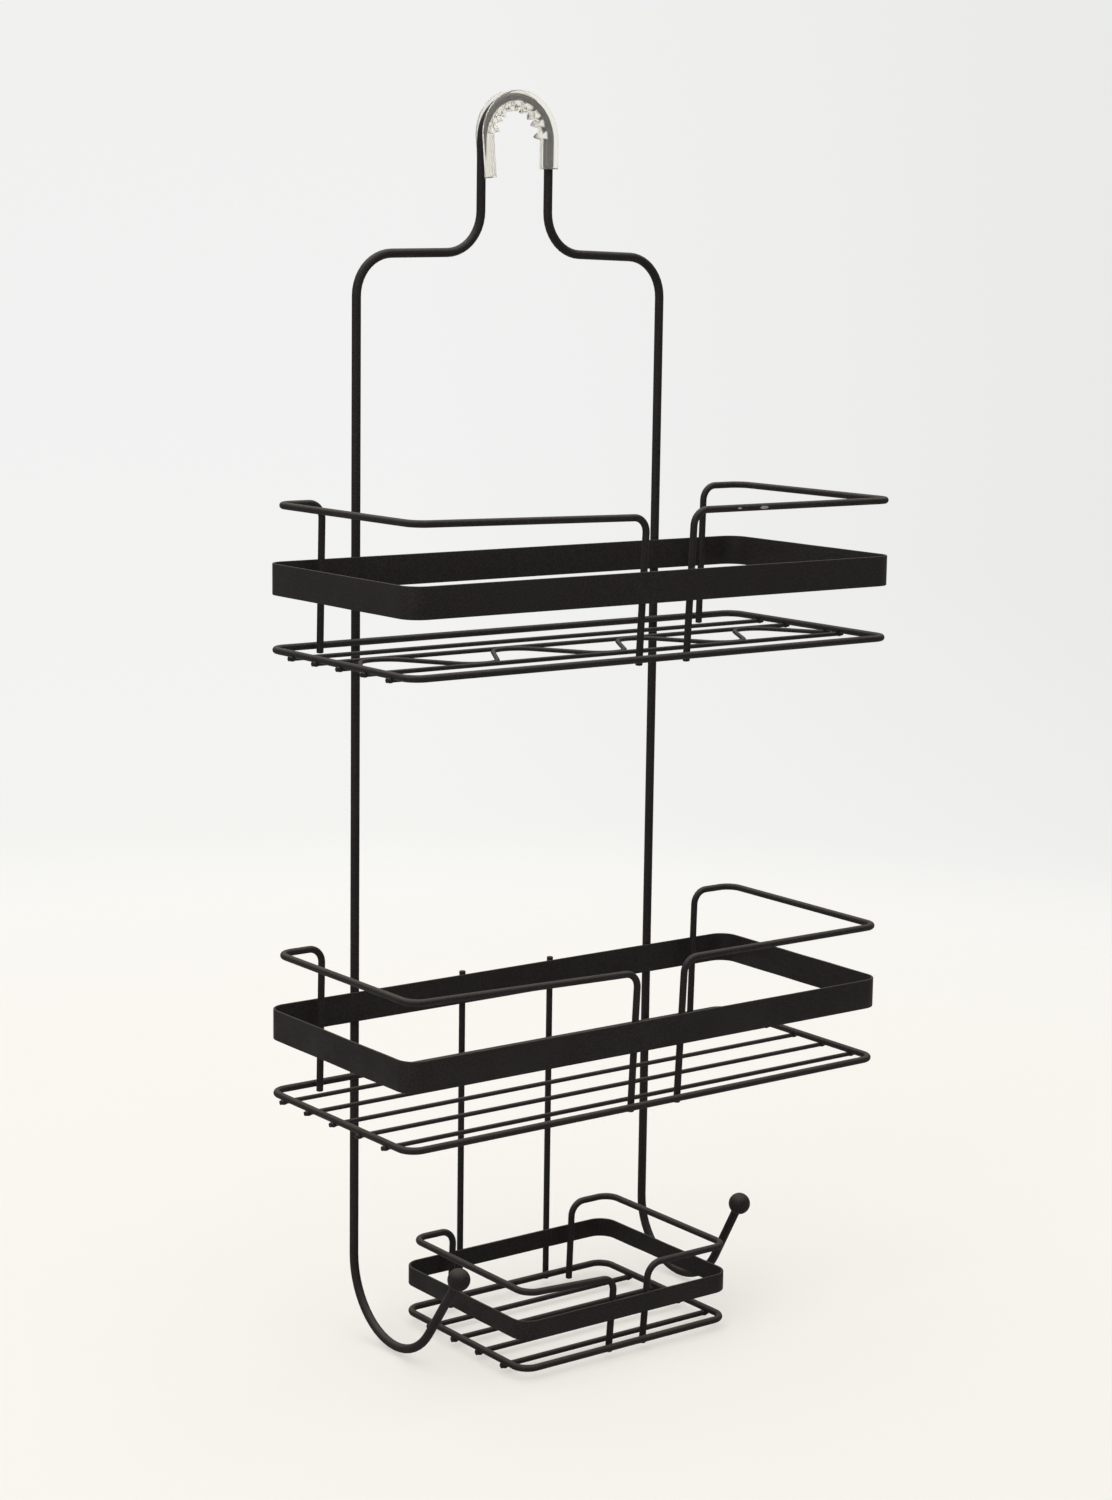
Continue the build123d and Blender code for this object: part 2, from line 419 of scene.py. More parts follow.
@dataclass(frozen=True)
class StudioPaper:
    """Seamless background paper over a light table, which fades out far from the caddy.

    Light from below lifts the shadows, so that they are only a faint grey under the dish.

    Attributes:
        name: The material's name.
        lit: How the paper takes light from above, matt.
        glow: Its own light, as the eye sees it.
        glow_share: How strongly the caddy is lit by that glow.
        fade_from: The level radius where the paper starts to fade.
        fade_to: Where it is gone, so that no horizon shows.
        roughness: How matt it is.
    """

    name: str = "seamless_studio_paper"
    lit: str = "#b2b1ae"
    glow: str = "#bbb8b2"
    glow_share: float = 0.12
    fade_from: float = 0.4
    fade_to: float = 1.5
    roughness: float = 0.6

    def material(self) -> bpy.types.Material:
        """Build the paper's nodes: matt, glowing, and clear beyond a radius.

        Returns:
            The paper's material.
        """
        material, tree = new_material(self.name)
        place = add_node(tree, "ShaderNodeTexCoord").outputs["Object"]
        level = vector(tree, "MULTIPLY", place, (1.0, 1.0, 0.0)).outputs[0]
        radius = vector(tree, "LENGTH", level)
        far = add_node(
            tree,
            "ShaderNodeMapRange",
            {0: radius.outputs["Value"], 1: self.fade_from, 2: self.fade_to},
            interpolation_type="SMOOTHERSTEP",
        ).outputs[0]
        inputs = {"Color": linear(self.lit), "Roughness": self.roughness}
        paper = add_node(tree, "ShaderNodeBsdfDiffuse", inputs)
        strength = as_seen(tree, self.glow_share)
        glow = add_node(
            tree, "ShaderNodeEmission", {"Color": linear(self.glow), "Strength": strength}
        )
        table = add_node(tree, "ShaderNodeAddShader", {0: paper.outputs[0], 1: glow.outputs[0]})
        clear = add_node(tree, "ShaderNodeBsdfTransparent")
        shader = add_node(
            tree, "ShaderNodeMixShader", {0: far, 1: table.outputs[0], 2: clear.outputs[0]}
        )
        add_node(tree, "ShaderNodeOutputMaterial", {"Surface": shader.outputs[0]})
        return material


# ------------------------------------------------------------------------------------------
# Surfaces
# ------------------------------------------------------------------------------------------


def unit(vectors: np.ndarray) -> np.ndarray:
    """Return each vector divided by its length."""
    return vectors / np.linalg.norm(vectors, axis=-1, keepdims=True)


def circle(turn: np.ndarray) -> np.ndarray:
    """Return the point at each angle on a circle of radius 1: its cosine and its sine."""
    return np.stack([np.cos(turn), np.sin(turn)], -1)


def carried(spine: np.ndarray, out: np.ndarray, side: np.ndarray, section: np.ndarray) -> np.ndarray:
    """Carry a section along a spine.

    A point is the spine's point, plus the section's first number along the outward vector,
    plus its second number along the side vector.

    Args:
        spine: Points of the spine, (n, 3).
        out: The outward unit vector at each, (n, 3).
        side: The sideways unit vector at each, (n, 3) or (3,).
        section: One section for all, (m, 2), or one for each point, (n, m, 2).

    Returns:
        The surface's points, (n, m, 3).
    """
    section = np.broadcast_to(section, (len(spine), *section.shape[-2:]))
    side = np.broadcast_to(side, out.shape)
    across = section[..., :1] * out[:, None] + section[..., 1:] * side[:, None]
    return spine[:, None] + across


def grid_faces(rows: int, columns: int, rows_close: bool = False) -> np.ndarray:
    """Return the quads of a grid whose columns close on themselves.

    Args:
        rows: How many rings of points there are.
        columns: How many points each ring has.
        rows_close: Whether the last ring joins the first.

    Returns:
        Point numbers, (faces, 4).
    """
    row = np.arange(rows if rows_close else rows - 1)[:, None]
    column = np.arange(columns)[None]
    after, beside = (row + 1) % rows, (column + 1) % columns
    corners = (
        row * columns + column,
        after * columns + column,
        after * columns + beside,
        row * columns + beside,
    )
    return np.stack([np.broadcast_to(c, (len(row), columns)) for c in corners], -1).reshape(-1, 4)


@dataclass
class Surface:
    """Points and faces that become one mesh."""

    points: list[np.ndarray] = field(default_factory=list)
    faces: list[list[int]] = field(default_factory=list)

    def add(self, points: np.ndarray, faces: Sequence[Sequence[int]] | np.ndarray) -> None:
        """Add a shell.

        Args:
            points: Its points, in any shape that ends in 3.
            faces: Its faces, numbered within these points.
        """
        start = sum(len(block) for block in self.points)
        self.points.append(np.asarray(points, float).reshape(-1, 3))
        self.faces.extend((np.asarray(face) + start).tolist() for face in faces)

    def piece(self, name: str, finish: bpy.types.Material, slot: str) -> bpy.types.Object:
        """Make the mesh a piece of the caddy, facing outwards and shaded smooth.

        Args:
            name: The piece's name.
            finish: Its material.
            slot: Not used.

        Returns:
            The piece, which rides on the caddy's only body.
        """
        mesh = bpy.data.meshes.new(name)
        mesh.from_pydata(np.concatenate(self.points), [], self.faces)
        mesh.polygons.foreach_set("use_smooth", np.ones(len(mesh.polygons), bool))
        mesh.update()
        mesh.materials.append(finish)
        piece = bpy.data.objects.new(name, mesh)
        bpy.context.scene.collection.objects.link(piece)
        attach(piece, "root")
        return piece


def node_points(name: str) -> np.ndarray:
    """Read the points of one of the caddy's fixed pieces.

    Args:
        name: The node's name.

    Returns:
        Its points, (n, 3).
    """
    mesh = bpy.data.objects[name].data
    points = np.zeros(len(mesh.vertices) * 3)
    mesh.vertices.foreach_get("co", points)
    return points.reshape(-1, 3)


# ------------------------------------------------------------------------------------------
# Sub-assemblies
# ------------------------------------------------------------------------------------------


@dataclass(frozen=True)
class StripBand:
    """The flat strip round one basket, with rolled edges under the coat.

    Attributes:
        basket: Which basket it belongs to.
        thickness: The strip's thickness.
        corner_radius: The band's outer corner radius.
        edge_radius: How round the strip's edges are.
        arc_points: Points on each corner.
        run_points: Points on each straight run.
        edge_points: Points on each corner of the strip's section.
        wander: How far a straight run strays in and out.
        wander_rate: Half waves of that on the first run.
    """

    basket: Basket
    thickness: float = 1.2 * MM
    corner_radius: float = 10.35 * MM
    edge_radius: float = 0.42 * MM
    arc_points: int = 14
    run_points: int = 24
    edge_points: int = 5
    wander: float = 0.16 * MM
    wander_rate: float = 2.3

    def build(self, finish: bpy.types.Material) -> bpy.types.Object:
        """Carry the strip's rounded section round a rectangle with round corners.

        Args:
            finish: The coat.

        Returns:
            The band's piece.
        """
        node = f"{self.basket.value}_band"
        low, high = (np.array(corner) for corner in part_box(node))
        spine, out = self._loop(low, high)
        section = self._section(high[2] - low[2])
        surface = Surface()
        surface.add(
            carried(spine, out, Z_AXIS, section),
            grid_faces(len(spine), len(section), rows_close=True),
        )
        piece = surface.piece(f"{self.basket.value}_strip_band", finish, "powder_coat")
        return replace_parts(piece, node)

    def _loop(self, low: np.ndarray, high: np.ndarray) -> tuple[np.ndarray, np.ndarray]:
        """Return the loop of the strip's middle, seen from above, and its outward vectors.

        Each corner is an arc, and the straight runs join them. A run strays in and out, as
        strip bent by hand does: by one half wave of a sine, which is nothing at the corners,
        times a quicker sine that has one more half wave on each next run.

        Args:
            low: The band's lowest corner.
            high: Its highest corner.

        Returns:
            Points and outward unit vectors, both (n, 3).
        """
        arc_r = self.corner_radius - self.thickness / 2
        turn = np.linspace(0, np.pi / 2, self.arc_points)
        share = np.linspace(0, 1, self.run_points + 2)[1:-1]
        centres = np.array(
            [
                (high[0] - self.corner_radius, high[1] - self.corner_radius),
                (low[0] + self.corner_radius, high[1] - self.corner_radius),
                (low[0] + self.corner_radius, low[1] + self.corner_radius),
                (high[0] - self.corner_radius, low[1] + self.corner_radius),
            ]
        )
        flat, flat_out = [], []
        for quarter in range(4):
            angle = turn + quarter * np.pi / 2
            normal = circle(angle)
            here = centres[quarter] + arc_r * normal
            nearest = centres[(quarter + 1) % 4] + arc_r * normal[-1]
            run = here[-1] + share[:, None] * (nearest - here[-1])
            rate = self.wander_rate + quarter
            bow = np.sin(np.pi * share) * np.sin(rate * np.pi * share + quarter)
            run = run + (bow * self.wander)[:, None] * normal[-1]
            flat += [here, run]
            flat_out += [normal, np.repeat(normal[-1:], len(run), 0)]
        loop, out = np.concatenate(flat), np.concatenate(flat_out)
        height = np.full((len(loop), 1), (low[2] + high[2]) / 2)
        return np.hstack([loop, height]), np.hstack([out, np.zeros_like(height)])

    def _section(self, height: float) -> np.ndarray:
        """Return the strip's section: a tall rectangle with round corners.

        Args:
            height: The strip's height.

        Returns:
            Outward and upward offsets, (m, 2), anticlockwise.
        """
        reach = np.array([self.thickness / 2, height / 2]) - self.edge_radius
        turn = np.linspace(0, np.pi / 2, self.edge_points)
        corners = []
        for quarter, signs in enumerate(((1, 1), (-1, 1), (-1, -1), (1, -1))):
            arc = circle(turn + quarter * np.pi / 2) * self.edge_radius
            corners.append(reach * signs + arc)
        return np.concatenate(corners)


@dataclass(frozen=True)
class GripSleeve:
    """The clear vinyl channel on the arch, open outwards, with soft teeth on its inner side.

    It sits on the rod's right side, and its left leg has sprung inwards off the rod.

    Attributes:
        node: The fixed piece that it takes the place of.
        arch_radius: The rod's bend, to its centre line.
        slip: How much tighter the left half of the sleeve is bent.
        lean: Degrees that the left leg leans inwards.
        right_leg: The right leg's straight length.
        lip_reach: How far the lips stand out from the rod's centre line.
        depth: The channel's depth in the plane of the arch.
        width: Its width from front to back.
        bore: The slot's half width.
        corner_radius: Its corners on the teeth's side.
        lip_radius: The lips' edges towards the slot.
        shoulder_radius: Their outer edges.
        tooth_half: Half of a tooth's base.
        tooth_corner: The section's corners where there is a tooth.
        tooth_power: How its height falls from the tip: 1 is a straight flank.
        tooth_profile: Where its points lie, as shares of half its base.
        pulled_share: The share of the depth past which a point follows the teeth.
        lean_from: How far out of the channel a point must be pulled before it leans.
        teeth: Each tooth's angle in degrees, its height and its lean.
    """

    node: str = "arm_grip_sleeve"
    arch_radius: float = 22.0 * MM
    slip: float = 2.4 * MM
    lean: float = 5.0
    right_leg: float = 14.5 * MM
    lip_reach: float = 3.93 * MM
    depth: float = 8.3 * MM
    width: float = 8.0 * MM
    bore: float = 2.46 * MM
    corner_radius: float = 2.6 * MM
    lip_radius: float = 0.5 * MM
    shoulder_radius: float = 0.8 * MM
    tooth_half: float = 2.2 * MM
    tooth_corner: float = 0.7 * MM
    tooth_power: float = 1.5
    tooth_profile: tuple[float, ...] = (-1, -0.8, -0.55, -0.3, -0.1, 0, 0.1, 0.3, 0.55, 0.8, 1)
    pulled_share: float = 0.3
    lean_from: float = 0.2 * MM
    teeth: tuple[tuple[float, float, float], ...] = (
        (10, 3.4, 0.10),
        (30, 3.1, -0.30),
        (50, 2.7, 0.30),
        (70, 2.8, 0.05),
        (90, 2.9, -0.15),
        (110, 2.6, 0.25),
        (130, 2.9, -0.30),
        (150, 2.7, 0.15),
        (170, 2.9, -0.20),
    )

    def build(self, finish: bpy.types.Material) -> bpy.types.Object:
        """Carry the channel's section round the arch, with the teeth pulled out of it.

        Args:
            finish: The vinyl.

        Returns:
            The sleeve's piece.
        """
        low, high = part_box(self.node)
        spine, out, along, tooth, lean = self._spine(np.array(low), np.array(high))
        plain, toothed = self._section(0.0), self._section(1.0)
        reach = np.where((tooth > 0)[:, None, None], toothed, plain)
        reach[..., 0] -= (toothed[:, 0] < -self.depth * self.pulled_share) * tooth[:, None]
        shape = carried(spine, out, Y_AXIS, reach)
        pulled = (reach[..., 0] < -self.depth / 2 - self.lean_from)[..., None]
        shape = shape + pulled * (lean[:, None] * along)[:, None]
        surface = Surface()
        columns = len(plain)
        faces = grid_faces(len(spine), columns)[:, ::-1].tolist()
        faces.append(list(range(columns))[::-1])
        faces.append(list(range((len(spine) - 1) * columns, len(spine) * columns)))
        surface.add(shape, faces)
        piece = surface.piece("clear_grip_sleeve", finish, "clear_vinyl")
        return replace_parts(piece, self.node)

    def _spine(
        self, low: np.ndarray, high: np.ndarray
    ) -> tuple[np.ndarray, np.ndarray, np.ndarray, np.ndarray, np.ndarray]:
        """Return the sleeve's line from the right leg's foot over the arch to the left foot.

        The line is a straight leg, a quarter circle, a tighter arc that turns a little past
        level, and a second straight leg. A tooth's height is 1 less a power of the distance
        from its tip, which is a share of half its base.

        Args:
            low: The sleeve's lowest corner.
            high: Its highest corner.

        Returns:
            Points, outward vectors, forward vectors, tooth heights and tooth leans.
        """
        arch_z = high[2] - self.lip_reach - self.arch_radius
        lean_turn = np.radians(self.lean)
        profile = np.array(self.tooth_profile)
        inner = self.arch_radius - self.depth / 2
        angles = [np.arange(0, 181, 4.0), [180 + self.lean]]
        for angle, _, _ in self.teeth:
            angles.append(angle + np.degrees(profile * self.tooth_half / inner))
        turn = np.radians(np.unique(np.clip(np.concatenate(angles), 0, 180 + self.lean).round(3)))
        radius = np.where(turn <= np.pi / 2, self.arch_radius, self.arch_radius - self.slip)
        centre_z = np.where(turn <= np.pi / 2, arch_z, arch_z + self.slip)
        arc = np.stack([radius * np.cos(turn), 0 * turn, centre_z + radius * np.sin(turn)], -1)
        out = np.stack([np.cos(turn), 0 * turn, np.sin(turn)], -1)
        tooth, lean = np.zeros(len(turn)), np.zeros(len(turn))
        for angle, height, skew in self.teeth:
            away = np.abs(turn - np.radians(angle)) * inner / self.tooth_half
            rise = np.clip(1 - away**self.tooth_power, 0, 1) * height * MM
            lean = np.where(rise > tooth, rise * skew, lean)
            tooth = np.maximum(tooth, rise)
        rise_up = np.linspace(arch_z - self.right_leg, arch_z, 9)[:-1]
        right = np.stack([0 * rise_up + self.arch_radius, 0 * rise_up, rise_up], -1)
        down = np.array([np.sin(lean_turn), 0, -np.cos(lean_turn)])
        left_leg = (arc[-1, 2] - low[2] - self.depth / 2 * np.sin(lean_turn)) / -down[2]
        left = arc[-1] + np.linspace(0, left_leg, 13)[1:, None] * down
        spine = np.concatenate([right, arc, left])
        out = np.concatenate([0 * right + X_AXIS, out, 0 * left + out[-1]])
        pad = (len(right), len(left))
        along = np.cross(out, Y_AXIS)
        return spine, out, -along, np.pad(tooth, pad), np.pad(lean, pad)

    def _section(self, squared: float) -> np.ndarray:
        """Return the channel's section, a U with round lips.

        Half of it runs from the bore's floor along the slot to the lip, round the lip, down
        the side and round the inner corner. The other half mirrors it.

        Args:
            squared: 0 for the plain round corners, 1 for a tooth's tight ones.

        Returns:
            Outward and sideways offsets, (m, 2).
        """
        half_u, half_v = self.depth / 2, self.width / 2
        bore = np.linspace(np.pi, np.pi / 2, 9)
        floor = circle(bore) * self.bore
        slot_end = self.lip_reach - self.lip_radius
        slot = np.stack([np.linspace(0, slot_end, 5)[1:], np.full(4, self.bore)], -1)
        lip_turn = np.radians(np.linspace(-72, 0, 5))
        lip = circle(lip_turn) * self.lip_radius
        lip += (self.lip_reach - self.lip_radius, self.bore + self.lip_radius)
        shoulder_turn = np.radians(np.linspace(0, 90, 6))
        shoulder = circle(shoulder_turn) * self.shoulder_radius
        shoulder += (self.lip_reach - self.shoulder_radius, half_v - self.shoulder_radius)
        round_r = self.corner_radius * (1 - squared) + self.tooth_corner * squared
        inner_turn = np.radians(np.linspace(90, 180, 8))
        inner_centre = np.array([-(half_u - round_r), half_v - round_r])
        inner = inner_centre + round_r * circle(inner_turn)
        last = np.array([(-half_u, inner[-1, 1] * 0.5)])
        half = np.concatenate([floor, slot, lip, shoulder, inner, last])
        mirrored = half[1:][::-1] * (1, -1)
        middle = np.array([(-half_u, 0.0)])
        return np.concatenate([half, middle, mirrored])


@dataclass(frozen=True)
class Web:
    """A saddle-shaped collar of weld and coat between two crossing round wires.

    Attributes:
        contact: The point where the wires touch.
        first_axis: The direction of the wire on the normal's side.
        second_axis: The direction of the other wire.
        normal: From the second wire to the first.
        first_radius: The first wire's radius.
        second_radius: The second wire's radius.
        gap: How far apart the wires are where the collar stands.
        pinch: How far its middle is drawn in, as a share of its reach.
        sink: How deep its two ends go into the wires.
        widest: Its largest reach, as a share of the thinner wire's radius.
        foot: The width of its two ends, as a share of its reach.
        cap: The same for the discs that close it.
        around: Points round it.
    """

    contact: np.ndarray
    first_axis: np.ndarray
    second_axis: np.ndarray
    normal: np.ndarray
    first_radius: float
    second_radius: float
    gap: float = 0.75 * MM
    pinch: float = 0.1
    sink: float = 0.12 * MM
    widest: float = 0.97
    foot: float = 1.03
    cap: float = 0.35
    around: int = 28

    def add_to(self, surface: Surface) -> None:
        """Add the collar.

        The gap between two crossing wires grows with the square of the distance from their
        contact, over twice each wire's radius. Round the contact, the collar stands where
        that equals its own gap, and half way up it is drawn in along an arch. Flat discs
        close it inside the wires.

        Args:
            surface: What it is added to.
        """
        turn = np.linspace(0, 2 * np.pi, self.around, endpoint=False)
        cosine, sine = np.cos(turn), np.sin(turn)
        bend = sine**2 / (2 * self.first_radius) + cosine**2 / (2 * self.second_radius)
        thinner = min(self.first_radius, self.second_radius)
        reach = np.minimum(np.sqrt(self.gap / bend), self.widest * thinner)
        u, v = reach * cosine, reach * sine
        rise = self.first_radius - np.sqrt(self.first_radius**2 - v**2) + self.sink
        fall = self.second_radius - np.sqrt(self.second_radius**2 - u**2) + self.sink
        level = np.linspace(0, 1, 9)[:, None]
        width = self.foot - self.pinch * np.sin(np.pi * level)
        level = np.concatenate([level[:1], level, level[-1:]])
        width = np.concatenate([[[self.cap]], width, [[self.cap]]])
        height = level * (rise + fall) - fall
        rows = (
            self.contact
            + (width * u)[..., None] * self.first_axis
            + (width * v)[..., None] * self.second_axis
            + height[..., None] * self.normal
        )
        count = self.around
        faces = grid_faces(len(level), count).tolist()
        faces.append(list(range(count)))
        faces.append(list(range(len(level) * count - 1, (len(level) - 1) * count - 1, -1)))
        if np.dot(np.cross(self.first_axis, self.second_axis), self.normal) > 0:
            faces = [face[::-1] for face in faces]
        surface.add(rows, faces)


@dataclass(frozen=True)
class Lump:
    """A rounded lump of weld or coat, an ellipsoid.

    Attributes:
        centre: Its middle.
        half: Its three half lengths, along X, Y and Z.
        rows: Rings from end to end.
        around: Points on a ring.
    """

    centre: np.ndarray
    half: tuple[float, float, float]
    rows: int = 9
    around: int = 16

    def add_to(self, surface: Surface) -> None:
        """Add the lump: a sphere of latitude rings, stretched to its three half lengths.

        Args:
            surface: What it is added to.
        """
        climb = np.linspace(-np.pi / 2, np.pi / 2, self.rows + 2)[1:-1, None]
        turn = np.linspace(0, 2 * np.pi, self.around, endpoint=False)[None]
        level = np.sin(climb) + 0 * turn
        sphere = np.stack([np.cos(climb) * np.cos(turn), np.cos(climb) * np.sin(turn), level], -1)
        poles = np.array([(0.0, 0.0, -1.0), (0.0, 0.0, 1.0)])
        points = np.concatenate([sphere.reshape(-1, 3), poles]) * self.half + self.centre
        count, last = self.around, (self.rows - 1) * self.around
        faces = [face[::-1] for face in grid_faces(self.rows, count).tolist()]
        here = np.arange(count)
        beside = (here + 1) % count
        bottom = np.stack([beside, here, np.full(count, self.rows * count)], -1)
        top = np.stack([last + here, last + beside, np.full(count, self.rows * count + 1)], -1)
        surface.add(points, faces + bottom.tolist() + top.tolist())


@dataclass(frozen=True)
class Collar:
    """A thin ring of weld and coat round a rod where it enters its ball, a torus.

    Attributes:
        centre: The middle of the ring.
        axis: The rod's direction.
        radius: From the rod's centre line to the middle of the ring's own section.
        thickness: The radius of that section.
        around: Points round the rod.
        across: Points round the section.
    """

    centre: np.ndarray
    axis: np.ndarray
    radius: float
    thickness: float
    around: int = 32
    across: int = 10

    def add_to(self, surface: Surface) -> None:
        """Add the ring: a small circle carried round the rod.

        Args:
            surface: What it is added to.
        """
        first = unit(np.cross(self.axis, X_AXIS))
        second = np.cross(self.axis, first)
        turn = np.linspace(0, 2 * np.pi, self.around, endpoint=False)[:, None]
        out = np.cos(turn) * first + np.sin(turn) * second
        spin = np.linspace(0, 2 * np.pi, self.across, endpoint=False)
        section = circle(spin) * self.thickness
        points = carried(self.centre + out * self.radius, out, self.axis, section)
        surface.add(points, grid_faces(self.around, self.across, rows_close=True))


@dataclass(frozen=True)
class BasketWelds:
    """All the welds of one basket, in one piece.

    Floor wires and rail legs are welded to the ring, rail legs to the band, and ring and band
    to the upright wires behind them. Where a floor wire ends, weld and coat have run into a
    rounded lump.

    Attributes:
        basket: Which basket it is.
        floor_numbers: Its straight floor wires.
        uprights: The upright nodes behind it, and each one's radius.
        wire_radius: The radius of the ring and the rails.
        strip: The band's thickness.
        pressed: How far the contact of a floor wire lies inside the ring.
        lump_reach: Half the length of the lump at a floor wire's end.
        lump_growth: How far a lump stands out past its wire, sideways and downwards.
        lump_rise: How far a lump's middle lies above its wire's.
        leg_seam: Half the width, thickness and height of a front leg's seam on the band.
        leg_seam_drop: How far that seam's middle lies below the band's top edge.
        end_dome: How far the rounded end of a leg or an upright stands out.
        seam_share: Half the width of an upright's seam, as a share of its radius.
        tip_slice: The length of a wire's end from which its middle is found.
        foot_slice: The same for a rail's foot.
    """

    basket: Basket
    floor_numbers: tuple[int, ...]
    uprights: tuple[tuple[str, float], ...]
    wire_radius: float = 1.85 * MM
    strip: float = 1.2 * MM
    pressed: float = 0.35 * MM
    lump_reach: float = 2.2 * MM
    lump_growth: tuple[float, float] = (0.7 * MM, 0.4 * MM)
    lump_rise: float = 0.1 * MM
    leg_seam: tuple[float, float, float] = (1.55 * MM, 0.6 * MM, 2.6 * MM)
    leg_seam_drop: float = 2.0 * MM
    end_dome: float = 0.5 * MM
    seam_share: float = 0.72
    tip_slice: float = 0.2 * MM
    foot_slice: float = 0.3 * MM

    def build(self, finish: bpy.types.Material) -> bpy.types.Object:
        """Find every weld from the nodes' boxes and points, and make one piece of them.

        Args:
            finish: The coat.

        Returns:
            The piece with this basket's welds.
        """
        name = self.basket.value
        ring = np.array([list(corner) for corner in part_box(f"{name}_ring")])
        band = np.array([list(corner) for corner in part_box(f"{name}_band")])
        surface = Surface()
        for weld in self._floor(ring) + self._rails(ring, band) + self._uprights(ring, band):
            weld.add_to(surface)
        return surface.piece(f"{name}_welds", finish, "powder_coat")

    def _floor(self, ring: np.ndarray) -> list[Web | Lump]:
        """Return the welds at both ends of each floor wire.

        Args:
            ring: The ring's lowest and highest corners.

        Returns:
            A web and a lump for each end.
        """
        nodes = [f"{self.basket.value}_floor_wire_{number}" for number in self.floor_numbers]
        if self.basket is Basket.UPPER:
            nodes.append("upper_floor_wave_wire")
        ring_z = ring[:, 2].mean()
        welds: list[Web | Lump] = []
        for node in nodes:
            points = node_points(node)
            for sign in (-1, 1):
                end_x = (points[:, 0] * sign).max()
                tip = points[points[:, 0] * sign > end_x - self.tip_slice]
                _, y, z = (tip.min(0) + tip.max(0)) / 2
                side_x = ring[1, 0] - self.wire_radius
                contact = np.array((sign * side_x, y, ring_z - self.wire_radius + self.pressed))
                radius = np.ptp(tip[:, 2]) / 2
                welds.append(Web(contact, Y_AXIS, X_AXIS, Z_AXIS, self.wire_radius, radius))
                wide, deep = self.lump_growth
                half = (self.lump_reach, radius + wide, radius + deep)
                middle = (sign * (end_x - self.lump_reach), y, z + self.lump_rise)
                welds.append(Lump(np.array(middle), half))
        return welds

    def _rails(self, ring: np.ndarray, band: np.ndarray) -> list[Web | Lump]:
        """Return the welds of both rails: two feet on the ring and one leg on the band.

        Args:
            ring: The ring's lowest and highest corners.
            band: The band's.

        Returns:
            The webs and lumps.
        """
        ring_z, radius = ring[:, 2].mean(), self.wire_radius
        welds: list[Web | Lump] = []
        for side in Side:
            points = node_points(f"{self.basket.value}_{side.value}_rail")
            foot_z = points[:, 2].min()
            feet = points[points[:, 2] < foot_z + self.foot_slice]
            is_front = feet[:, 1] < ring[:, 1].mean()
            for foot, wall_y, normal in (
                (feet[is_front], ring[0, 1] + 2 * radius, Y_AXIS),
                (feet[~is_front], ring[1, 1] - 2 * radius, -Y_AXIS),
            ):
                x, y, _ = (foot.min(0) + foot.max(0)) / 2
                contact = np.array((x, wall_y, ring_z))
                welds.append(Web(contact, Z_AXIS, X_AXIS, normal, radius, radius))
                welds.append(Lump(np.array((x, y, foot_z)), (radius, radius, self.end_dome)))
            leg = feet[is_front]
            x = (leg[:, 0].min() + leg[:, 0].max()) / 2
            seam = (x, band[0, 1] + self.strip, band[1, 2] - self.leg_seam_drop)
            welds.append(Lump(np.array(seam), self.leg_seam))
        return welds

    def _uprights(self, ring: np.ndarray, band: np.ndarray) -> list[Web | Lump]:
        """Return the welds of ring and band to the upright wires behind them.

        Args:
            ring: The ring's lowest and highest corners.
            band: The band's.

        Returns:
            The webs and lumps.
        """
        welds: list[Web | Lump] = []
        seam_half = (band[1, 2] - band[0, 2]) / 2 - self.end_dome
        for node, radius in self.uprights:
            low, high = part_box(node)
            is_frame = high.x - low.x > 4 * radius
            places = (low.x + radius, high.x - radius) if is_frame else ((low.x + high.x) / 2,)
            for x in places:
                contact = np.array((x, ring[1, 1], ring[:, 2].mean()))
                welds.append(Web(contact, X_AXIS, Z_AXIS, -Y_AXIS, self.wire_radius, radius))
                middle = np.array((x, band[1, 1], band[:, 2].mean()))
                welds.append(Lump(middle, (self.seam_share * radius, self.leg_seam[1], seam_half)))
                if not is_frame and self.basket is Basket.LOWER:
                    top = np.array((x, (low.y + high.y) / 2, high.z))
                    welds.append(Lump(top, (radius, radius, self.end_dome)))
        return welds


@dataclass(frozen=True)
class HookWelds:
    """The rings of weld and coat where the rod enters its two balls.

    Attributes:
        rod_radius: The rod's radius.
        ball_radius: The balls' radius.
        bead: The ring's own radius.
        bead_offset: How far the ring's middle stands off the rod.
        end_share: The rod's radii within which its end's points lie.
    """

    rod_radius: float = ROD_RADIUS
    ball_radius: float = 6.0 * MM
    bead: float = 0.5 * MM
    bead_offset: float = 0.2 * MM
    end_share: float = 1.1

    def build(self, finish: bpy.types.Material) -> bpy.types.Object:
        """Find the rod's direction in each ball, and put a ring where the two meet.

        The rod ends in a flat circle at the ball's centre. Of the directions along which its
        points spread, the last, with no spread, is the rod's own.

        Args:
            finish: The coat.

        Returns:
            The piece with both rings.
        """
        rod = node_points("frame_wire")
        depth = np.sqrt(self.ball_radius**2 - self.rod_radius**2)
        surface = Surface()
        for side in Side:
            low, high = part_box(f"{side.value}_hook_ball")
            centre = np.array((low + high) / 2)
            away = np.linalg.norm(rod - centre, axis=1)
            end = rod[away < self.end_share * self.rod_radius] - centre
            axis = np.linalg.svd(end, full_matrices=False)[2][2]
            axis *= -np.sign(axis[2])
            radius = self.rod_radius + self.bead_offset
            Collar(centre + axis * depth, axis, radius, self.bead).add_to(surface)
        return surface.piece("hook_welds", finish, "powder_coat")


# ------------------------------------------------------------------------------------------
# Studio
# ------------------------------------------------------------------------------------------


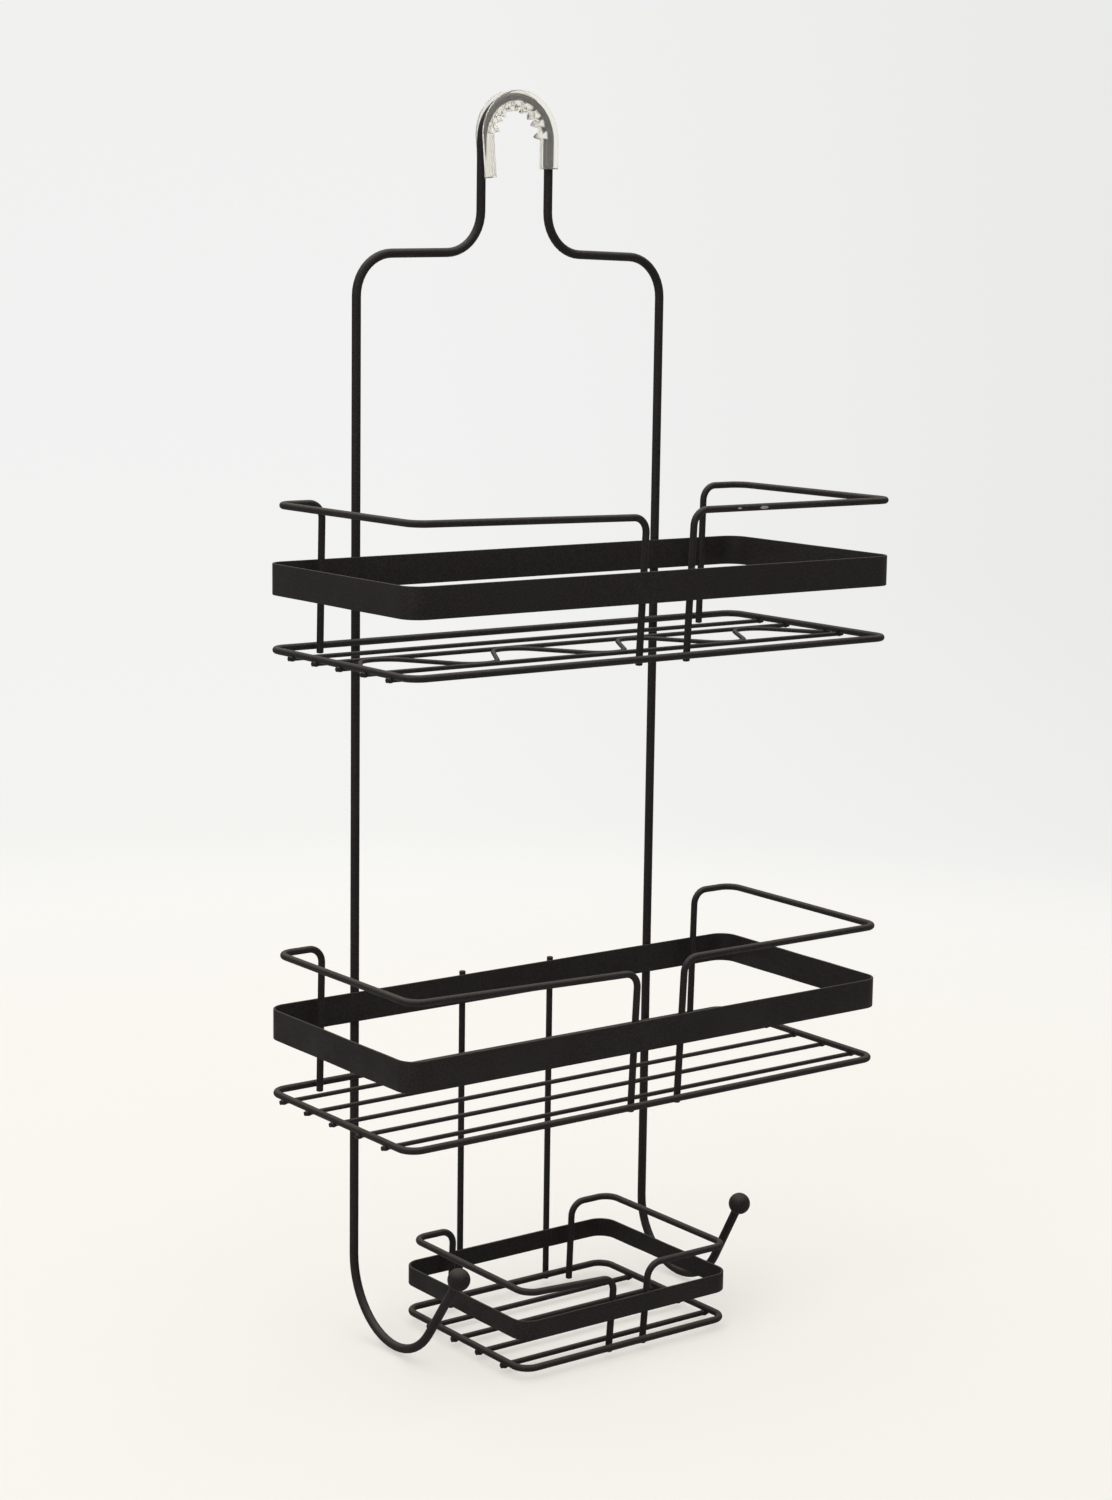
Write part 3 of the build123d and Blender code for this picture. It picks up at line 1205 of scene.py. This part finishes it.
@dataclass(frozen=True)
class Lamp:
    """One softbox: where it stands, what it faces, its sides and its power."""

    name: str
    place: tuple[float, float, float]
    aim: tuple[float, float, float]
    sides: tuple[float, float]
    watts: float
    colour: str = "#ffffff"

    def build(self) -> None:
        """Add the area light, facing its aim."""
        light = bpy.data.lights.new(self.name, "AREA")
        light.shape = "RECTANGLE"
        light.size, light.size_y = self.sides
        light.energy = self.watts
        light.color = linear(self.colour)[:3]
        lamp = bpy.data.objects.new(self.name, light)
        facing = Vector(self.aim) - Vector(self.place)
        turn = facing.to_track_quat("-Z", "Y").to_matrix().to_4x4()
        lamp.matrix_world = Matrix.Translation(self.place) @ turn
        lamp.visible_camera = False
        lamp.visible_transmission = False
        bpy.context.scene.collection.objects.link(lamp)


@dataclass(frozen=True)
class Studio:
    """A pale seamless floor, an even pale surround and soft lamps.

    Attributes:
        floor_gap: How far the caddy hangs above the floor.
        floor_radius: How far the floor reaches.
        surround: How the surround looks from low to high: the upward part of a direction,
            and the colour seen there.
        dim_side: The surround's colour on its dimmer side.
        dim_towards: The level direction of that side.
        dim_range: How far that way a direction points as the surround dims.
        off_floor: The upward parts between which the floor's own colour gives way.
        fill: How strongly the surround lights the caddy, as a share of what is seen.
        lamps: The softboxes.
    """

    floor_gap: float = 1.5 * MM
    floor_radius: float = 7.0
    surround: tuple[tuple[float, str], ...] = (
        (-0.4, "#f5f2eb"),
        (-0.29, "#f6f3ed"),
        (-0.2, "#f4f4f1"),
        (-0.05, "#f2f2f2"),
        (0.09, "#f1f1f0"),
    )
    dim_side: str = "#eaeae9"
    dim_towards: tuple[float, float, float] = (0.8, -0.6, 0.0)
    dim_range: tuple[float, float] = (-0.05, 0.19)
    off_floor: tuple[float, float] = (-0.3, -0.1)
    fill: float = 0.34
    lamps: tuple[Lamp, ...] = (
        Lamp("overhead_softbox", (-0.1, 0.05, 1.5), (0.0, 0.0, -0.4), (3.2, 3.2), 56.0),
        Lamp("backdrop_softbox", (0.7, 1.7, 0.8), (0.0, 0.0, -0.2), (2.4, 1.2), 3.5),
        Lamp("left_softbox", (-1.9, -0.9, 0.5), (0.0, 0.0, -0.3), (1.2, 1.6), 8.0),
    )

    def build(self) -> None:
        """Add the surround, the floor and the lamps."""
        self._surround()
        low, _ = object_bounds()
        floor_z = low.z - self.floor_gap
        turn = np.linspace(0, 2 * np.pi, 96, endpoint=False)
        ring = np.stack([np.cos(turn), np.sin(turn), 0 * turn], -1) * self.floor_radius
        ring[:, 2] = floor_z
        mesh = bpy.data.meshes.new("studio_floor")
        mesh.from_pydata(ring, [], [list(range(len(ring)))])
        mesh.materials.append(StudioPaper().material())
        floor = bpy.data.objects.new("studio_floor", mesh)
        bpy.context.scene.collection.objects.link(floor)
        floor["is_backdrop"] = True
        for lamp in self.lamps:
            lamp.build()

    def _surround(self) -> None:
        """Light the scene from all round, weaker on the caddy than it is seen behind it."""
        world = bpy.data.worlds.new("studio_surround")
        world.use_nodes = True
        tree = world.node_tree
        tree.nodes.clear()
        direction = add_node(tree, "ShaderNodeTexCoord").outputs["Generated"]
        height = add_node(tree, "ShaderNodeSeparateXYZ", {0: direction}).outputs["Z"]
        below, first = self.surround[0]
        colour = linear(first)
        for above, shade in self.surround[1:]:
            climb = self._rise(tree, height, (below, above))
            colour = blended(tree, climb, colour, linear(shade))
            below = above
        sideways = vector(tree, "DOT_PRODUCT", direction, self.dim_towards).outputs["Value"]
        dim = self._rise(tree, sideways, self.dim_range)
        dimmed = scalar(tree, "MULTIPLY", dim, self._rise(tree, height, self.off_floor))
        colour = blended(tree, dimmed, colour, linear(self.dim_side))
        strength = as_seen(tree, self.fill)
        sky = add_node(tree, "ShaderNodeBackground", {"Color": colour, "Strength": strength})
        add_node(tree, "ShaderNodeOutputWorld", {"Surface": sky.outputs[0]})
        bpy.context.scene.world = world

    @staticmethod
    def _rise(
        tree: bpy.types.NodeTree, value: bpy.types.NodeSocket, ends: tuple[float, float]
    ) -> bpy.types.NodeSocket:
        """Return 0 below the first end and 1 above the second, and a straight rise between."""
        inputs = {0: value, 1: ends[0], 2: ends[1]}
        return add_node(tree, "ShaderNodeMapRange", inputs).outputs[0]


@dataclass(frozen=True)
class Viewpoint:
    """The camera: where it stands and how it is turned.

    Attributes:
        place: Where the lens is.
        heading: Degrees from +Y towards +X.
        tilt_down: Degrees below the horizon.
        roll: Degrees about its own line of sight.
        lens_mm: Focal length on a sensor 36 mm long.
    """

    place: tuple[float, float, float] = (-0.9206, -1.2676, -0.0783)
    heading: float = 36.945
    tilt_down: float = 9.553
    roll: float = 0.814
    lens_mm: float = 69.4

    def build(self) -> None:
        """Add the camera and make it the scene's own."""
        data = bpy.data.cameras.new("viewpoint")
        data.lens = self.lens_mm
        data.sensor_width = 36.0
        data.clip_start, data.clip_end = 0.05, 50.0
        camera = bpy.data.objects.new("viewpoint", data)
        turns = ((-self.heading, "Z"), (90 - self.tilt_down, "X"), (self.roll, "Z"))
        matrix = Matrix.Translation(self.place)
        for angle, axis in turns:
            matrix = matrix @ Matrix.Rotation(np.radians(angle), 4, axis)
        camera.matrix_world = matrix
        bpy.context.scene.collection.objects.link(camera)
        bpy.context.scene.camera = camera


# ------------------------------------------------------------------------------------------
# Assembly
# ------------------------------------------------------------------------------------------


@dataclass(frozen=True)
class WireWork:
    """The round wires, which keep their shape and get the coat.

    Attributes:
        chipped: The rail whose coat has chips.
        chips: Where they are, on top of its front run.
    """

    chipped: str = "upper_right_rail"
    chips: tuple[Chip, ...] = (
        Chip((0.0627, -0.1372, -0.2012), (0.0030, 0.0016, 0.0009)),
        Chip((0.0460, -0.1372, -0.2010), (0.0016, 0.0012, 0.0006)),
    )

    def dress(self, nodes: dict[str, bpy.types.Object], coat: bpy.types.Material) -> None:
        """Give every wire the coat, and one rail a coat with two chips.

        Args:
            nodes: The CAD nodes by name.
            coat: The plain coat.
        """
        worn = PowderCoat(name="black_fine_texture_powder_coat_chipped", chips=self.chips).material()
        for name, wire in sorted(nodes.items()):
            wire.data.materials.clear()
            wire.data.materials.append(worn if name == self.chipped else coat)
            LOG.info("wire %s", name)


def main() -> None:
    """Load the frame, set the view and the studio, and build each sub-assembly."""
    logging.basicConfig(level=logging.INFO, format="%(name)s: %(message)s")
    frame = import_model()
    bpy.context.scene.view_settings.view_transform = "Standard"
    Viewpoint().build()
    Studio().build()
    coat = PowderCoat().material()
    WireWork().dress(frame["nodes"], coat)
    frame_rods = ("frame_wire", ROD_RADIUS)
    supports = tuple((f"{side.value}_support_wire", SUPPORT_RADIUS) for side in Side)
    for basket, numbers, uprights in (
        (Basket.UPPER, (1, 2, 4, 5), (frame_rods,)),
        (Basket.LOWER, (1, 2, 3, 4, 5), (frame_rods, *supports)),
        (Basket.SOAP_DISH, (1, 2, 3, 4), supports),
    ):
        LOG.info("piece %s", StripBand(basket).build(coat).name)
        LOG.info("piece %s", BasketWelds(basket, numbers, uprights).build(coat).name)
    LOG.info("piece %s", HookWelds().build(coat).name)
    LOG.info("piece %s", GripSleeve().build(ClearVinyl().material()).name)


if __name__ == "__main__":
    main()
